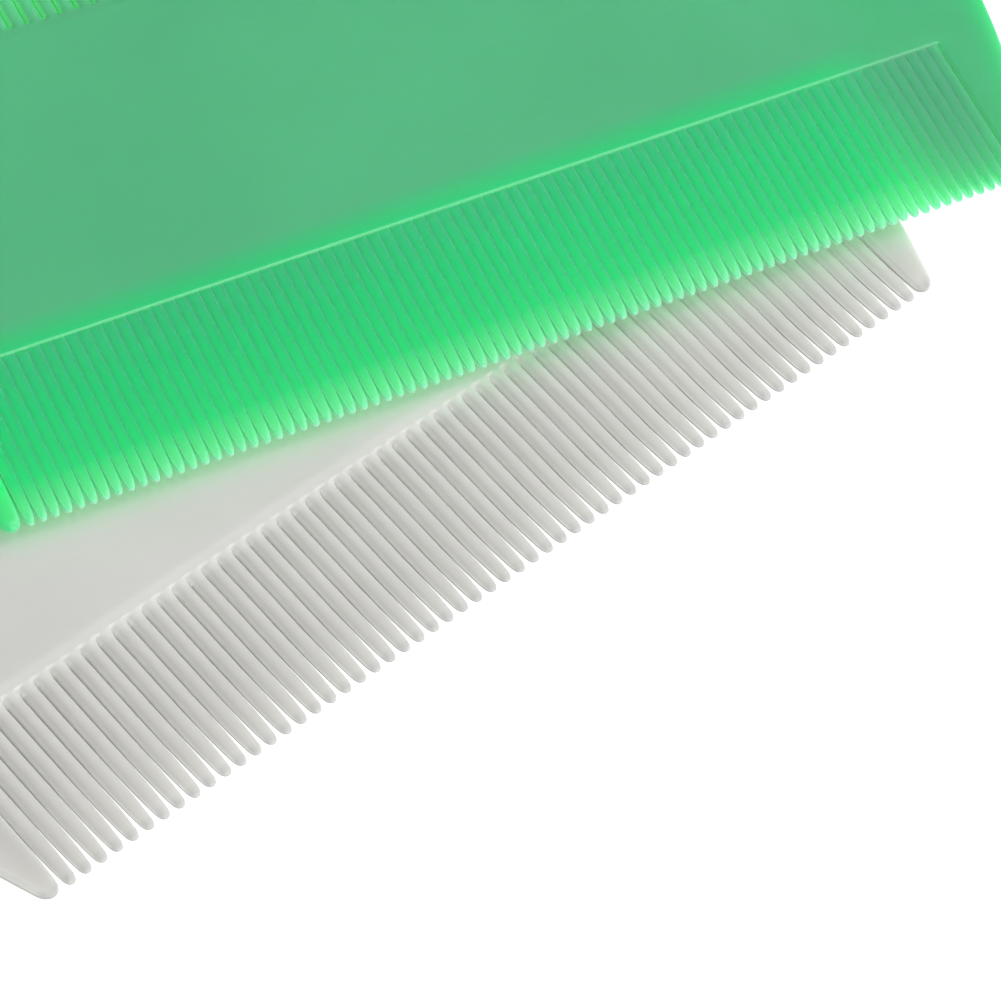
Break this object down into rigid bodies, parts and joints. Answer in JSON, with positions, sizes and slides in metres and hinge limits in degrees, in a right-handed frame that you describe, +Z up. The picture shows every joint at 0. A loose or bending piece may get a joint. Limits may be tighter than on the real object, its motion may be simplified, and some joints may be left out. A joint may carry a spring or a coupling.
{
  "type": "flea comb set",
  "caption": "Two flat plastic flea combs from one mould, a green one lying askew on a white one; each has a coarse and a fine row of teeth with end guards.",
  "frame": {"origin": "centre of the white comb's flat underside, at table height", "axes": "+X along the white comb's length, coarse teeth of the white comb towards -Y, +Z up out of the table"},
  "size_m": [0.12, 0.0782, 0.0051],
  "materials": {
    "white_plastic": "satin",
    "green_plastic": "satin, translucent"
  },
  "bodies": {
    "white": {"white_comb": "white_plastic"},
    "green": {"green_comb": "green_plastic"}
  },
  "joints": [
    {"name": "lift_green_comb", "type": "slide", "parent": "white", "child": "green", "axis": [0, 0, 1], "range_m": [0, 0.03]}
  ]
}
